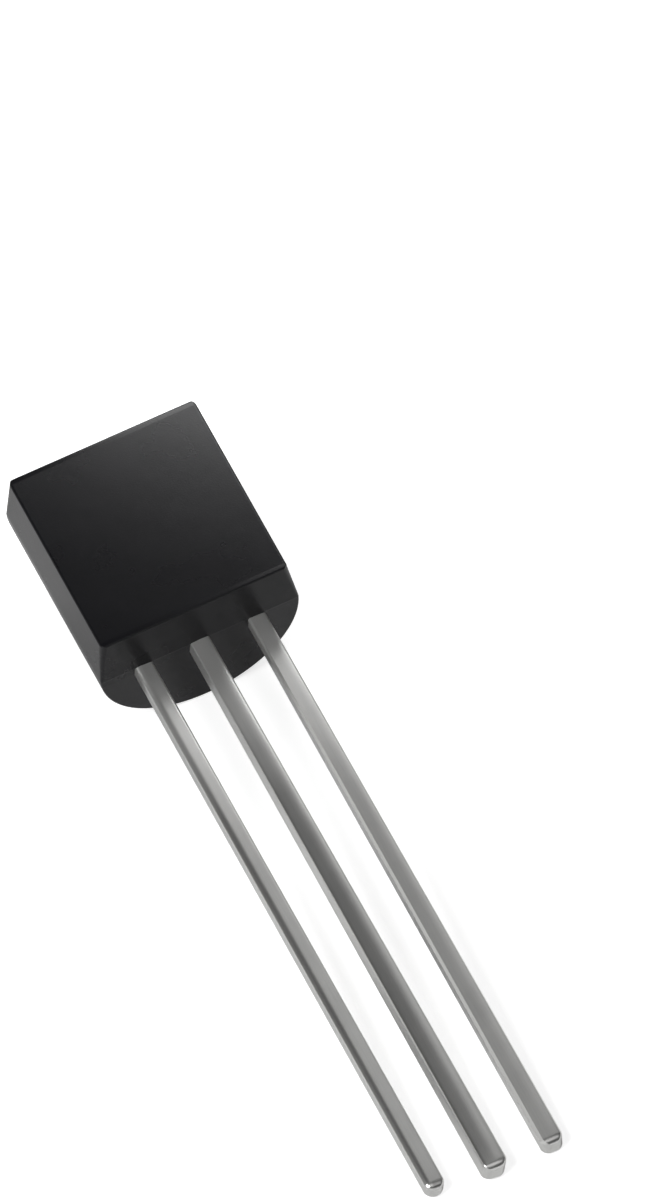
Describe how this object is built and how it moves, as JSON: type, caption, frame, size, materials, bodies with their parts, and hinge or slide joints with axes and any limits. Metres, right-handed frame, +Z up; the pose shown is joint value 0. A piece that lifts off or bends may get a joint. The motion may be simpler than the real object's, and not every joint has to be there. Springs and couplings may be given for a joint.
{
  "type": "transistor",
  "caption": "Small-signal transistor in a black D-shaped moulding with a flat front, a round back and straight tinned leads in line.",
  "frame": {"origin": "on the ground under the middle of the part's box, as it lies on its round back and its lead tips", "axes": "+X across the flat face, +Y from the lead tips towards the moulding, +Z up, out of the flat face, which leans 7.4 degrees towards the leads"},
  "size_m": [0.0044, 0.0184, 0.0039],
  "materials": {
    "moulding": "satin black epoxy moulding compound, glossier on the round back",
    "tinned_lead": "satin tin plate over a copper alloy",
    "silicon": "polished grey silicon",
    "die_bond": "dull silver-filled bonding layer",
    "gold_wire": "bright gold bond wire"
  },
  "bodies": {
    "root": {"body": "moulding", "collector_lead": "tinned_lead", "base_lead": "tinned_lead", "emitter_lead": "tinned_lead", "silicon_die": "silicon", "die_attach": "die_bond", "base_bond_wire": "gold_wire", "emitter_bond_wire": "gold_wire"}
  },
  "joints": []
}
